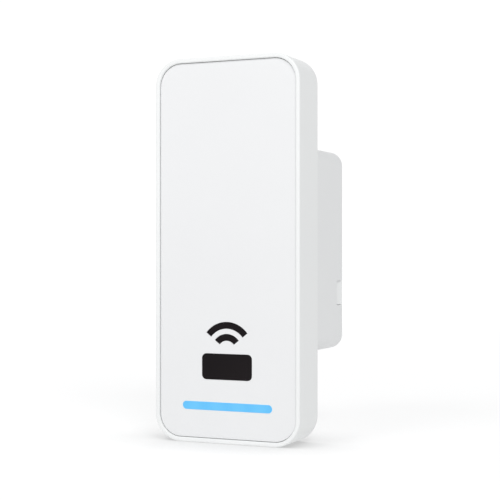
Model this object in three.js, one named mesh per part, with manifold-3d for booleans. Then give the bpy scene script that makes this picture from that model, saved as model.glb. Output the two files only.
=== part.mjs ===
// A wall-mounted RFID card reader: a slab with an inset face panel, and a box behind it for the wall box.
// Millimetres. X runs to the visitor's right, Y runs from the visitor into the wall, Z runs up.
// Depths are counted from the front of the rim. The whole reader is then moved so that its origin is the
// middle of its footprint, on its bottom edge.
import * as THREE from "three";
import { mergeVertices } from "three/addons/utils/BufferGeometryUtils.js";
import Module from "manifold-3d";

const wasm = await Module();
wasm.setup();

// ---------------------------------------------------------------- driving sizes

// The shells.
const slab = { width: 54, height: 132, depth: 16.8, radius: 9.4, edge: 0.5 };
const rim = { width: 1.5, height: 0.8 }; // what stands round the face panel, and how far it stands proud
const shell = { wall: 2.8, web: 2, lip: 1.2, rebate: 2.5 }; // the rear plate enters the rebate
const rearPlate = { thickness: 1.8 };
const box = { inset: 3, height: 72, depth: 33.6, radius: 5.2, wall: 1.5, edge: 0.8, partition: 1.4 };
const notch = { height: 8.9, depth: 6.35, belowMiddle: 15.65 }; // finger notch in each side of the box
const cover = { thickness: 1.6, skirt: 1.2, skirtGap: 1.1, ramp: 1.6, land: 0.8, tabGap: 0.1 };

// The face.
const panel = { thickness: 1.5, gap: 0.16 };
const adhesive = { thickness: 0.3, width: 3 };
const lightBar = { margin: 10.3, height: 2.7, z: 12.55 };
const lightGuide = { overhang: 0.6, ledGap: 0.25 };
const led = { count: 4, fromEnd: 4.5, width: 1.6, height: 0.8, thickness: 0.75 };
const sign = { bottom: 21.75, depth: 0.4, stroke: 2.2, card: { width: 18.6, height: 8.8, radius: 1.6 } };
const wave = { inner: 5.6, outer: 9.7, rise: 1.2, reach: 0.9 }; // reach is half of a wave's angle, in radians

// Circuit boards and what is on them.
const mainBoard = { thickness: 1.6, depth: 6.6, gap: 1.6, bottom: 6.6, topGap: 1 };
const tongue = { gap: 0.8, top: 13 }; // the board's narrow lower end
const antenna = { thickness: 0.6, height: 56, narrower: 5, gap: 0.25, belowStandoff: 4 };
const coil = { turns: 5, trace: 0.7, pitch: 1.4, copper: 0.14, side: 1.6, end: 2.4 };
const ferrite = { thickness: 0.25, margin: 1 };
const antennaConnector = { width: 6, height: 3 };
const powerBoard = { thickness: 1.6, depth: 17.2, gap: 1.5 };
const header = { width: 15, height: 5, gap: 1 };
const rib = { width: 3, height: 2, gap: 0.4 }; // holds the power board down
const transformer = { width: 12, height: 11, flange: 2.6, waist: 8.5, depth: 10, gap: 1 };
const inductor = { size: 7, depth: 3.6, gap: 0.5 };
const capacitor = { radius: 4, depth: 14, gap: 3, bead: 0.3 };
const powerColumn = 9; // how far the power parts stand left and right of the middle
const beeper = { radius: 4.6, depth: 4, hole: 1.1, holeDepth: 0.8, belowBox: 4 };
const processor = { width: 12, height: 12, depth: 1.2, fromLeft: 2, aboveMiddle: 20 };
const shieldCan = { width: 17, height: 15, depth: 2.4, fromRight: 2, aboveMiddle: 21 };
const radioModule = { width: 10, height: 12, depth: 1.8, fromLeft: 9, aboveMiddle: 36 };
const networkTransformer = { width: 15, height: 9.5, depth: 5.4, belowPartition: 1 };

// Network jack.
const jack = { width: 16, height: 13.4, depth: 17 };
const bore = { width: 11.8, height: 6.8, depth: 12.7, fromTop: 1.5, latchWidth: 6.4, latchDepth: 2.4 };
const contact = { count: 8, pitch: 1.02, width: 0.4, thickness: 0.35, drop: 1.8, length: 8.5, inset: 2.5 };
const jackGasket = { width: 2, thickness: 0.95, gap: 0.2 };
const jackWindow = 0.5; // clearance all round the jack in the rear plate

// Seals and label.
const rearSeal = { thickness: 0.3, width: 0.8, fromLip: 0.2 };
const wallGasket = { width: 1, fromLip: 0.4 };
const coverSeal = { width: 1.4, fromSkirtEnd: 0.4, wallGap: 0.15 };
const grommet = { bore: 3.5, neck: 6.9, flange: 8.6, flangeDepth: 0.8, chamfer: 0.3 };
const label = { width: 34, height: 24, thickness: 0.18 };

// Screws, and the bosses they enter.
const boss = { inset: 5.8, radius: 3 };
const standoff = { radius: 2.4, inset: 5, low: 20, fromTop: 24.5 };
const housingScrew = { head: 2.6, headDepth: 0.9, shank: 1.25, tip: 7, clearance: 0.25, socket: 1.25 };
const boardScrew = { head: 1.9, headDepth: 1.2, shank: 0.85, length: 3.8, clearance: 0.35, slot: 0.5 };
const securityScrew = { head: 2.3, headHeight: 1.8, shank: 1.45, length: 8.5, clearance: 0.25, socket: 1.35 };
const screwBlock = { width: 8, front: 3.6 }; // what the security screw passes through, in the front housing
const lugPocket = { width: 10, height: 6.4, floor: 0.8, wall: 1, bottom: 6.2 };
const hookPocket = { height: 7, mouth: 4.8, depth: 5, wall: 1.2 };

// Pieces that are pressed.
const reset = { fromJack: 6.5, fromBoxBottom: 10, stem: 1.5, flange: 2.3, travel: 0.35, proud: 0.5 };
const tamper = { stem: 1.5, flange: 2.3, travel: 1.9, proud: 2.2, stub: 0.3 };
const pressSwitch = { size: 4.6, depth: 3.1, nub: 0.7, nubRadius: 1 };
const tamperSwitch = { size: 6, depth: 2 };
const flange = { thickness: 1, gap: 0.2 }; // the collar behind the rear plate that keeps a pressed piece in
const spring = { radius: 1.75, wire: 0.15, turns: 3, halfSides: 3, stepsPerTurn: 14 };
const soundSlot = { fromSide: 15, depth: 8, length: 5, width: 1.2 };
const vent = { margin: 0.7, thickness: 0.3 };

// Clearances.
const film = 0.05; // between faces that touch
const slip = 0.3; // beside a piece that drops into a pocket
const inlayGap = 0.08; // beside a piece set flush in the panel
const running = 0.2; // round a piece that slides in a hole
const bite = 0.1; // round a thread, in the hole it is driven into
const past = 3; // how far a cutting tool reaches past what it cuts

const facets = { corner: 5, edge: 3, round: 24, small: 14 }; // an arc has twice its number of chords

// ---------------------------------------------------------------- depths and places that follow

const panelFront = rim.height;
const panelBack = panelFront + panel.thickness;
const webFront = panelBack + adhesive.thickness;
const webBack = webFront + shell.web;
const ledge = slab.depth - shell.rebate; // where the rear plate seats in the front housing
const plateFront = ledge + rearSeal.thickness;
const plateBack = plateFront + rearPlate.thickness;
const boxBack = slab.depth + box.depth;
const boardFront = mainBoard.depth;
const boardBack = boardFront + mainBoard.thickness;
const onBoard = boardBack + film; // where a component stands on the main board
const onPower = powerBoard.depth + powerBoard.thickness + film;

const middle = slab.height / 2;
const cavity = {
  width: slab.width - 2 * shell.wall,
  height: slab.height - 2 * shell.wall,
  radius: slab.radius - shell.wall,
};
const boxWidth = slab.width - 2 * box.inset;
const boxBottom = middle - box.height / 2;
const boxTop = middle + box.height / 2;
const inner = {
  width: boxWidth - 2 * box.wall,
  height: box.height - 2 * box.wall,
  radius: box.radius - box.wall,
};
const partitionTop = middle + box.partition / 2;
const bay = { bottom: boxBottom + box.wall, top: middle - box.partition / 2 }; // the cable compartment
bay.height = bay.top - bay.bottom;
bay.middle = (bay.top + bay.bottom) / 2;
const upperTop = boxTop - box.wall;
const upperMiddle = (partitionTop + upperTop) / 2;
const notchMiddle = middle - notch.belowMiddle;
const notchFront = boxBack - notch.depth;

const bossX = cavity.width / 2 - boss.inset;
const bossLow = shell.wall + boss.inset;
const bossHigh = slab.height - bossLow;
const standoffX = cavity.width / 2 - standoff.inset;
const standoffHigh = slab.height - standoff.fromTop;
const screwPlaces = corners(bossX, bossLow, bossHigh);
const standoffPlaces = corners(standoffX, standoff.low, standoffHigh);

const board = { width: cavity.width - 2 * mainBoard.gap, top: bossHigh - boss.radius - mainBoard.topGap };
const tongueHalf = bossX - boss.radius - tongue.gap;
const antennaWidth = board.width - antenna.narrower;
const antennaFront = webBack + antenna.gap;
const antennaBack = antennaFront + antenna.thickness;
const antennaTop = standoffHigh - standoff.radius - antenna.belowStandoff;
const antennaBottom = antennaTop - antenna.height;
const barLength = slab.width - 2 * lightBar.margin;
const soundX = soundSlot.fromSide - slab.width / 2;

const hookMiddle = (boxTop + slab.height - shell.wall) / 2;
const tamperX = bossX - boss.radius - tamperSwitch.size / 2 - running;
const hookWidth = 2 * (tamperX - tamperSwitch.size / 2 - slip - hookPocket.wall);
const lugFloor = boardBack + slip + lugPocket.floor;
const securityScrewY = lugFloor + securityScrew.shank + slip;
const resetX = -(jack.width / 2 + reset.fromJack);
const resetZ = boxBottom + reset.fromBoxBottom;
const flangeBack = plateFront - flange.gap;
const flangeFront = flangeBack - flange.thickness;

function corners(x, low, high) {
  return [[-x, low], [x, low], [-x, high], [x, high]];
}

// ---------------------------------------------------------------- shapes

// A rectangle with round corners, centred at (x, y).
function roundedRect(width, height, radius, x = 0, y = 0) {
  const [w, h, r] = [width / 2, height / 2, Math.min(radius, width / 2, height / 2)];
  const shape = new THREE.Shape();
  shape.absarc(x + w - r, y + h - r, r, 0, Math.PI / 2);
  shape.absarc(x - w + r, y + h - r, r, Math.PI / 2, Math.PI);
  shape.absarc(x - w + r, y - h + r, r, Math.PI, 1.5 * Math.PI);
  shape.absarc(x + w - r, y - h + r, r, 1.5 * Math.PI, 2 * Math.PI);
  return shape;
}

// The same outline as a flat ring of the given width, centred at height y.
function ring(width, height, radius, thickness, y) {
  const shape = roundedRect(width, height, radius, 0, y);
  const holeRadius = Math.max(radius - thickness, film);
  shape.holes.push(roundedRect(width - 2 * thickness, height - 2 * thickness, holeRadius, 0, y));
  return shape;
}

function polygon(points) {
  return new THREE.Shape(points.map(([x, y]) => new THREE.Vector2(x, y)));
}

// The light bar's outline, grown all round by a margin.
function barShape(margin) {
  const radius = lightBar.height / 2 + margin;
  return roundedRect(barLength + 2 * margin, 2 * radius, radius, 0, lightBar.z);
}

// The slab's outline, moved inwards all round.
function slabShape(inset) {
  return roundedRect(slab.width - 2 * inset, slab.height - 2 * inset, slab.radius - inset, 0, middle);
}

// A flat ring that follows the slab's outline, a distance inside it.
function ringInSlab(inset, width) {
  return ring(slab.width - 2 * inset, slab.height - 2 * inset, slab.radius - inset, width, middle);
}

// The inside of the rear box, made smaller all round by a margin.
function innerShape(margin) {
  return roundedRect(inner.width - 2 * margin, inner.height - 2 * margin, inner.radius - margin, 0, middle);
}

// ---------------------------------------------------------------- solids

// A shape in X and Z, made solid from depth y0 to depth y1. An edge round goes on both ends.
function sheet(shape, y0, y1, edge = 0) {
  const geometry = new THREE.ExtrudeGeometry(shape, {
    depth: y1 - y0 - 2 * edge,
    curveSegments: facets.corner,
    bevelEnabled: edge > 0,
    bevelThickness: edge,
    bevelSize: edge,
    bevelOffset: -edge,
    bevelSegments: facets.edge,
  });
  return geometry.rotateX(Math.PI / 2).translate(0, y1 - edge, 0);
}

// A shape in X and Y, made solid from height z0 to height z1.
function column(shape, z0, z1) {
  const geometry = new THREE.ExtrudeGeometry(shape, {
    depth: z1 - z0,
    curveSegments: facets.corner,
    bevelEnabled: false,
  });
  return geometry.translate(0, 0, z0);
}

function block(x0, x1, y0, y1, z0, z1) {
  const geometry = new THREE.BoxGeometry(x1 - x0, y1 - y0, z1 - z0);
  return geometry.translate((x0 + x1) / 2, (y0 + y1) / 2, (z0 + z1) / 2);
}

// A block centred at x and z, from depth y0 to depth y1.
function plate(width, height, y0, y1, x = 0, z = 0) {
  return block(x - width / 2, x + width / 2, y0, y1, z - height / 2, z + height / 2);
}

// A rod along Y from depth y0 to depth y1.
function rod(radius, y0, y1, x = 0, z = 0, sides = facets.small) {
  return new THREE.CylinderGeometry(radius, radius, y1 - y0, sides).translate(x, (y0 + y1) / 2, z);
}

// A rod along Z.
function post(radius, z0, z1, x, y) {
  const geometry = new THREE.CylinderGeometry(radius, radius, z1 - z0, facets.small).rotateX(Math.PI / 2);
  return geometry.translate(x, y, (z0 + z1) / 2);
}

// A solid of revolution about Y, from points of radius and depth that start and end on the axis.
function turned(points, sides = facets.round) {
  return new THREE.LatheGeometry(points.map(([r, y]) => new THREE.Vector2(r, y)), sides);
}

function solid(geometry) {
  const bare = geometry.clone();
  bare.deleteAttribute("normal");
  bare.deleteAttribute("uv");
  const merged = mergeVertices(bare);
  return new wasm.Manifold(
    new wasm.Mesh({
      numProp: 3,
      vertProperties: new Float32Array(merged.attributes.position.array),
      triVerts: new Uint32Array(merged.index.array),
    }),
  );
}

function geometryOf(manifold) {
  const mesh = manifold.getMesh();
  return new THREE.BufferGeometry()
    .setAttribute("position", new THREE.BufferAttribute(new Float32Array(mesh.vertProperties), 3))
    .setIndex(new THREE.BufferAttribute(new Uint32Array(mesh.triVerts), 1));
}

function joined(...geometries) {
  return geometries.map(solid).reduce((a, b) => a.add(b));
}

function cut(body, ...tools) {
  return tools.map(solid).reduce((a, b) => a.subtract(b), body);
}

// ---------------------------------------------------------------- finishes

function finish(color, roughness, metalness = 0) {
  return new THREE.MeshStandardMaterial({ color, roughness, metalness });
}

const white = finish(0xf4f6f6, 0.55);
const panelWhite = finish(0xf0f1f2, 0.45);
const black = finish(0x2c2829, 0.5);
const blue = finish(0x6ec7fd, 0.3);
const clear = finish(0xdfe9f0, 0.1);
const boardGreen = finish(0x1d4a33, 0.5);
const boardBlack = finish(0x22262a, 0.5);
const copper = finish(0xc07a45, 0.35, 1);
const darkGrey = finish(0x3b3d40, 0.6);
const steel = finish(0xb9bcc0, 0.35, 1);
const gold = finish(0xd8b45a, 0.3, 1);
const chipBlack = finish(0x17181a, 0.6);
const rubber = finish(0x5b5f63, 0.85);
const foam = finish(0x3a3c3f, 0.95);
const silverFilm = finish(0xd7dadd, 0.45);
const tape = finish(0x2b2d30, 0.7);
const beige = finish(0xd9cfb8, 0.5);
const amber = finish(0xe9dfc0, 0.3);
const sleeve = finish(0x2d3138, 0.4);

// ---------------------------------------------------------------- the scene graph

const reader = new THREE.Group();
const portCover = new THREE.Group(); // pulls straight out of the box
const resetPress = new THREE.Group(); // presses towards the visitor
const tamperPress = new THREE.Group(); // is pressed by the wall
reader.add(portCover, resetPress, tamperPress);
reader.position.y = -boxBack / 2;

function add(name, shape, material, [x, y, z] = [0, 0, 0], group = reader) {
  const mesh = new THREE.Mesh(shape.isBufferGeometry ? shape : geometryOf(shape), material);
  mesh.name = name;
  mesh.position.set(x, y, z);
  group.add(mesh);
}

// ---------------------------------------------------------------- front housing

// One moulding: the rim, the side walls, the web behind the panel, and the bosses that everything screws to.
function frontHousing() {
  const root = webFront + shell.web / 2; // bosses start inside the web
  const blockTop = lugPocket.bottom - lugPocket.wall - running;
  const blockFront = securityScrewY - screwBlock.front;
  const body = cut(
    joined(sheet(slabShape(0), 0, slab.depth + past, slab.edge)),
    plate(2 * slab.width, 2 * slab.height, slab.depth, slab.depth + 2 * past, 0, middle),
    sheet(slabShape(rim.width), -past, webFront),
    sheet(slabShape(shell.wall), webBack, slab.depth + past),
    sheet(slabShape(shell.lip), ledge, slab.depth + past),
  ).add(joined(
    ...screwPlaces.map(([x, z]) => rod(boss.radius, root, ledge, x, z)),
    ...standoffPlaces.map(([x, z]) => rod(standoff.radius, root, boardFront - film, x, z)),
    block(-screwBlock.width / 2, screwBlock.width / 2, blockFront, ledge, shell.wall / 2, blockTop),
  ));
  const headRoom = securityScrew.headHeight + slip + film;
  const housingHole = ledge - housingScrew.tip - slip;
  const boardHole = onBoard - boardScrew.length - slip;
  const slot = roundedRect(soundSlot.length, soundSlot.width, soundSlot.width, soundX, soundSlot.depth);
  return cut(
    body,
    sheet(barShape(slip), webFront - past, webBack + past),
    ...screwPlaces.map(([x, z]) => rod(housingScrew.shank + bite, housingHole, slab.depth, x, z)),
    ...standoffPlaces.map(([x, z]) => rod(boardScrew.shank + bite, boardHole, boardBack, x, z)),
    post(securityScrew.head + securityScrew.clearance, -past, headRoom, 0, securityScrewY),
    post(securityScrew.shank + securityScrew.clearance, 0, lugPocket.bottom, 0, securityScrewY),
    column(slot, -past, cavity.radius),
  );
}
add("front_housing", frontHousing(), white);

// ---------------------------------------------------------------- face panel and what is set in it

// A plain sign of a card and two radio waves. A margin makes the pocket that each inlay drops into.
const waveCentre = sign.bottom + sign.card.height + wave.rise;

function cardShape(margin) {
  const { width, height, radius } = sign.card;
  return roundedRect(width + 2 * margin, height + 2 * margin, radius + margin, 0, sign.bottom + height / 2);
}

function waveShape(radius, margin) {
  const turn = wave.reach + margin / radius;
  const shape = new THREE.Shape();
  shape.absarc(0, waveCentre, radius + margin, Math.PI / 2 - turn, Math.PI / 2 + turn);
  shape.absarc(0, waveCentre, radius - sign.stroke - margin, Math.PI / 2 + turn, Math.PI / 2 - turn, true);
  return shape;
}

const inlays = {
  sign_card: cardShape,
  sign_wave_inner: (margin) => waveShape(wave.inner, margin),
  sign_wave_outer: (margin) => waveShape(wave.outer, margin),
};
const signFloor = panelFront + sign.depth;
const panelInset = rim.width + panel.gap;

add("face_panel", cut(
  joined(sheet(slabShape(panelInset), panelFront, panelBack)),
  sheet(barShape(inlayGap), panelFront - past, panelBack + past),
  ...Object.values(inlays).map((shape) => sheet(shape(inlayGap), panelFront - past, signFloor)),
), panelWhite);

for (const [name, shape] of Object.entries(inlays))
  add(name, sheet(shape(0), panelFront, signFloor - film), black);

add("panel_adhesive", sheet(ringInSlab(panelInset, adhesive.width), panelBack + film, webFront - film), tape);

// ---------------------------------------------------------------- light bar

const lensBack = webFront - 2 * film;
add("light_bar_lens", sheet(barShape(0), panelFront, lensBack), blue);

// A clear bar fills the web's slot. Behind the web it is taller, and reaches back almost to the lamps.
const guideBack = boardFront - led.thickness - lightGuide.ledGap;
add("light_guide", joined(
  sheet(barShape(-film), webFront, webBack + 2 * film),
  plate(2 * tongueHalf, lightBar.height + 2 * lightGuide.overhang, webBack + film, guideBack, 0, lightBar.z),
), clear);

const ledBack = boardFront - film;
const ledSpan = barLength - 2 * led.fromEnd;
for (let i = 0; i < led.count; i++) {
  const x = (i / (led.count - 1) - 0.5) * ledSpan;
  const body = plate(led.width, led.height, ledBack - led.thickness, ledBack);
  add(`status_led_${i + 1}`, body, amber, [x, 0, lightBar.z]);
}

// ---------------------------------------------------------------- antenna

const antennaMiddle = (antennaTop + antennaBottom) / 2;
add("antenna_board", plate(antennaWidth, antenna.height, antennaFront, antennaBack), boardBlack,
  [0, 0, antennaMiddle]);

// The coil is one flat track: inwards along a square spiral, and back along the track's other edge.
function coilTrack() {
  const [half, tall] = [antennaWidth / 2 - coil.side, antenna.height / 2 - coil.end];
  const edge = (offset) => {
    const points = [];
    for (let turn = 0; turn < coil.turns; turn++) {
      const near = turn * coil.pitch + offset;
      const start = turn ? near - coil.pitch : near;
      points.push([near - half, start - tall], [near - half, tall - near], [half - near, tall - near]);
      points.push([half - near, near - tall]);
    }
    return points;
  };
  const last = (coil.turns - 1) * coil.pitch; // the inner end stops a pitch short of the turn outside it
  const outside = [...edge(0), [last + coil.pitch - half, last - tall]];
  const inside = [...edge(coil.trace), [last + coil.pitch - half, last + coil.trace - tall]];
  inside[0] = [coil.trace - half, -tall];
  return polygon([...outside, ...inside.reverse()]);
}
const coilBack = antennaFront - film / 2;
add("antenna_coil", sheet(coilTrack(), coilBack - coil.copper, coilBack), copper, [0, 0, antennaMiddle]);

const connectorBottom = antennaBottom + ferrite.margin;
const connectorTop = connectorBottom + antennaConnector.height;
const ferriteFront = antennaBack + film;
const ferriteHalf = antennaWidth / 2 - ferrite.margin;
add("antenna_connector",
  plate(antennaConnector.width, antennaConnector.height, ferriteFront, boardFront - film), beige,
  [0, 0, (connectorBottom + connectorTop) / 2]);
add("ferrite_sheet", block(-ferriteHalf, ferriteHalf, ferriteFront, ferriteFront + ferrite.thickness,
  connectorTop + ferrite.margin, antennaTop - ferrite.margin), darkGrey);

// ---------------------------------------------------------------- main board

// The board is narrower at the bottom, where a tongue passes between the housing's bosses to the light bar.
function boardOutline() {
  const [narrow, wide] = [tongueHalf, board.width / 2];
  const { bottom } = mainBoard;
  return polygon([
    [-narrow, bottom], [narrow, bottom], [narrow, tongue.top], [wide, tongue.top],
    [wide, board.top], [-wide, board.top], [-wide, tongue.top], [-narrow, tongue.top],
  ]);
}
add("main_board", cut(
  joined(sheet(boardOutline(), boardFront, boardBack)),
  ...standoffPlaces.map(([x, z]) => rod(boardScrew.shank + boardScrew.clearance, 0, slab.depth, x, z)),
), boardGreen);

function boardScrewSolid() {
  const { head, headDepth, shank, length, slot } = boardScrew;
  const top = onBoard + headDepth;
  const screw = turned([
    [0, onBoard - length], [shank, onBoard - length], [shank, onBoard], [head, onBoard],
    [head, top - slot / 2], [head - slot, top], [0, top],
  ], facets.small);
  const cross = [[head, slot], [slot, head]];
  return cut(solid(screw), ...cross.map(([width, height]) => plate(width, height, top - slot, top + past)));
}
standoffPlaces.forEach(([x, z], i) => add(`board_screw_${i + 1}`, boardScrewSolid(), steel, [x, 0, z]));

// A flat package soldered to the back of the board, at its own distance from the board's left or right edge.
function addPackage(name, part, material) {
  const half = (board.width - part.width) / 2;
  const x = "fromLeft" in part ? part.fromLeft - half : half - part.fromRight;
  const body = plate(part.width, part.height, onBoard, onBoard + part.depth);
  add(name, body, material, [x, 0, middle + part.aboveMiddle]);
}
addPackage("processor_chip", processor, chipBlack);
addPackage("nfc_shield_can", shieldCan, steel);
addPackage("radio_module", radioModule, steel);

add("network_transformer",
  plate(networkTransformer.width, networkTransformer.height, onBoard, onBoard + networkTransformer.depth),
  chipBlack, [0, 0, bay.top - networkTransformer.belowPartition]);

const beeperBack = onBoard + beeper.depth;
add("beeper", turned([
  [0, onBoard], [beeper.radius, onBoard], [beeper.radius, beeperBack], [beeper.hole, beeperBack],
  [beeper.hole, beeperBack - beeper.holeDepth], [0, beeperBack - beeper.holeDepth],
]), chipBlack, [soundX, 0, boxBottom - beeper.belowBox]);

const ventLength = soundSlot.length + 2 * vent.margin;
const ventWidth = soundSlot.width + 2 * vent.margin;
add("sound_vent", column(roundedRect(ventLength, ventWidth, vent.margin, soundX, soundSlot.depth),
  shell.wall + film, shell.wall + film + vent.thickness), foam);

// ---------------------------------------------------------------- rear housing

// The rear plate, the box behind it with two compartments, and the pockets that a wall bracket enters.
function rearHousing() {
  const [hook, lug] = [hookPocket, lugPocket];
  const hookFront = plateBack - hook.depth;
  const hookBottom = hookMiddle - hook.height / 2;
  const hookTop = hookMiddle + hook.height / 2;
  const root = plateFront + rearPlate.thickness / 2;
  const farX = slab.width;

  const insideBox = solid(sheet(innerShape(0), plateFront - past, boxBack + past));
  const upper = solid(block(-farX, farX, plateFront - past, boxBack - box.wall, partitionTop, slab.height));
  const lower = solid(block(-farX, farX, plateBack, boxBack + past, 0, bay.top));
  const shells = joined(
    sheet(slabShape(shell.lip + slip), plateFront, plateBack),
    sheet(roundedRect(boxWidth, box.height, box.radius, 0, middle), root, boxBack, box.edge),
  ).subtract(insideBox.intersect(upper)).subtract(insideBox.intersect(lower));

  const ribFront = onPower + rib.gap;
  const ribs = [-1, 1].map((side) =>
    plate(rib.width, rib.height, ribFront, boxBack - box.wall / 2, side * inner.width / 2, upperMiddle));
  const pockets = [
    block(-lug.width / 2 - lug.wall, lug.width / 2 + lug.wall, lugFloor - lug.floor, root,
      lug.bottom - lug.wall, lug.bottom + lug.height + lug.wall),
    block(-hookWidth / 2 - hook.wall, hookWidth / 2 + hook.wall, hookFront - hook.wall, root,
      hookBottom - hook.wall, hookTop + hook.wall),
  ];
  const headHole = plateBack - housingScrew.headDepth - 2 * film;
  const labelFloor = boxBack - label.thickness - 2 * film;
  const [front, back] = [plateFront - past, plateBack + past]; // right through the rear plate
  return cut(
    shells.add(joined(...ribs, ...pockets)),
    block(-lug.width / 2, lug.width / 2, lugFloor, boxBack, lug.bottom, lug.bottom + lug.height),
    post(securityScrew.shank + securityScrew.clearance, 0, lug.bottom + film, 0, securityScrewY),
    block(-hookWidth / 2, hookWidth / 2, hookFront, plateFront, hookBottom, hookTop),
    block(-hookWidth / 2, hookWidth / 2, hookFront, slab.depth, hookBottom, hookBottom + hook.mouth),
    plate(jack.width + 2 * jackWindow, jack.height + 2 * jackWindow, front, back, 0, bay.middle),
    rod(reset.stem + running, front, back, resetX, resetZ),
    rod(tamper.stem + running, front, back, tamperX, hookMiddle),
    ...[-1, 1].map((side) =>
      plate(4 * box.wall, notch.height, notchFront, boxBack + past, side * boxWidth / 2, notchMiddle)),
    ...screwPlaces.map(([x, z]) => rod(housingScrew.shank + housingScrew.clearance, front, back, x, z)),
    ...screwPlaces.map(([x, z]) =>
      rod(housingScrew.head + housingScrew.clearance, headHole, back, x, z, facets.round)),
    plate(label.width + 2 * slip, label.height + 2 * slip, labelFloor, boxBack + past, 0, upperMiddle),
  );
}
add("rear_housing", rearHousing(), white);

const sealRing = ringInSlab(shell.lip + rearSeal.fromLip, rearSeal.width);
add("rear_seal", sheet(sealRing, ledge + film, plateFront - film), rubber);

const gasketRing = ringInSlab(shell.lip + wallGasket.fromLip, wallGasket.width);
add("wall_gasket", sheet(gasketRing, plateBack + film, slab.depth), foam);

function housingScrewSolid() {
  const { head, headDepth, shank, tip, socket } = housingScrew;
  const top = plateBack - film;
  const end = ledge - tip;
  const screw = turned([
    [0, end], [shank / 2, end], [shank, end + shank], [shank, top - headDepth], [head, top - headDepth],
    [head, top - running], [head - running, top], [0, top],
  ]);
  return cut(solid(screw), rod(socket, top - headDepth / 2, top + past, 0, 0, 6));
}
screwPlaces.forEach(([x, z], i) => add(`housing_screw_${i + 1}`, housingScrewSolid(), steel, [x, 0, z]));

// The security screw comes up through the bottom edge into the lug pocket. It has a star socket round a pin.
function securityScrewSolid() {
  const { head, headHeight, shank, length, socket } = securityScrew;
  const end = headHeight + length;
  const screw = turned([
    [0, 0], [head - slip, 0], [head, slip], [head, headHeight], [shank, headHeight],
    [shank, end - shank / 2], [shank / 2, end], [0, end],
  ]);
  const star = [0, Math.PI / 3].map((turn) => rod(socket, -past, headHeight / 2, 0, 0, 3).rotateY(turn));
  const pin = solid(rod(socket / 3, 0, headHeight, 0, 0, 8));
  return geometryOf(cut(solid(screw), ...star).add(pin)).rotateX(Math.PI / 2);
}
add("security_screw", securityScrewSolid(), steel, [0, securityScrewY, slip]);

const labelBack = boxBack - film;
add("rating_label", plate(label.width, label.height, labelBack - label.thickness, labelBack), silverFilm,
  [0, 0, upperMiddle]);

// ---------------------------------------------------------------- power board in the upper compartment

const powerBottom = partitionTop + powerBoard.gap;
const powerTop = upperTop - powerBoard.gap;
add("power_board", plate(inner.width - 2 * powerBoard.gap, powerTop - powerBottom,
  powerBoard.depth, powerBoard.depth + powerBoard.thickness, 0, upperMiddle), boardGreen);
add("board_header", plate(header.width, header.height, onBoard, powerBoard.depth - film), beige,
  [0, 0, powerBottom + header.gap + header.height / 2]);

function transformerSolid() {
  const { width, height, flange: thick, waist, depth } = transformer;
  return joined(
    plate(width, height, onPower, onPower + thick),
    plate(waist, height, onPower + thick / 2, onPower + depth - thick / 2),
    plate(width, height, onPower + depth - thick, onPower + depth),
  );
}
add("power_transformer", transformerSolid(), darkGrey,
  [-powerColumn, 0, powerTop - transformer.gap - transformer.height / 2]);
add("power_inductor", plate(inductor.size, inductor.size, onPower, onPower + inductor.depth), darkGrey,
  [-powerColumn, 0, powerBottom + inductor.gap + inductor.size / 2]);

// A can in a sleeve, with the rolled groove near its foot.
function capacitorSolid() {
  const { radius, depth, bead } = capacitor;
  const top = onPower + depth;
  return turned([
    [0, onPower], [radius, onPower], [radius, onPower + 3 * bead], [radius - bead, onPower + 4 * bead],
    [radius, onPower + 5 * bead], [radius, top - bead], [radius - bead, top], [0, top],
  ]);
}
const capacitorInset = capacitor.gap + capacitor.radius;
[powerTop - capacitorInset, powerBottom + capacitorInset].forEach((z, i) =>
  add(`bulk_capacitor_${i + 1}`, capacitorSolid(), sleeve, [powerColumn, 0, z]));

// ---------------------------------------------------------------- network jack in the cable compartment

const jackBack = boardBack + jack.depth;
const boreTop = bay.middle + jack.height / 2 - bore.fromTop;
const boreBottom = boreTop - bore.height;
add("ethernet_jack", cut(
  joined(plate(jack.width, jack.height, onBoard, jackBack, 0, bay.middle)),
  block(-bore.width / 2, bore.width / 2, jackBack - bore.depth, jackBack + past, boreBottom, boreTop),
  block(-bore.latchWidth / 2, bore.latchWidth / 2, jackBack - bore.depth, jackBack + past,
    boreBottom - bore.latchDepth, boreTop),
), steel);

// Each contact is a flat spring. It leans from the top of the bore near its mouth down towards its back wall.
function contactStrip() {
  const { length, drop, thickness, width, inset } = contact;
  const mouth = jackBack - inset;
  const top = boreTop - film;
  const side = polygon([
    [mouth, top], [mouth - length, top - drop + thickness],
    [mouth - length, top - drop], [mouth, top - thickness],
  ]);
  const strip = column(side, -width / 2, width / 2);
  return strip.rotateX(Math.PI / 2).rotateZ(Math.PI / 2); // its width now lies along X
}
for (let i = 0; i < contact.count; i++) {
  const x = (i - (contact.count - 1) / 2) * contact.pitch;
  add(`jack_contact_${i + 1}`, contactStrip(), gold, [x, 0, 0]);
}

const jackGrow = 2 * (jackGasket.width + jackGasket.gap);
const jackRing = ring(
  jack.width + jackGrow, jack.height + jackGrow, jackGasket.width, jackGasket.width, bay.middle);
add("jack_gasket", sheet(jackRing, plateBack + film, plateBack + film + jackGasket.thickness), rubber);

// ---------------------------------------------------------------- reset button and tamper plunger

const resetSwitchBack = onBoard + pressSwitch.depth;
add("reset_switch", joined(
  plate(pressSwitch.size, pressSwitch.size, onBoard, resetSwitchBack - pressSwitch.nub),
  rod(pressSwitch.nubRadius, onBoard, resetSwitchBack),
), chipBlack, [resetX, 0, resetZ]);

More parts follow.
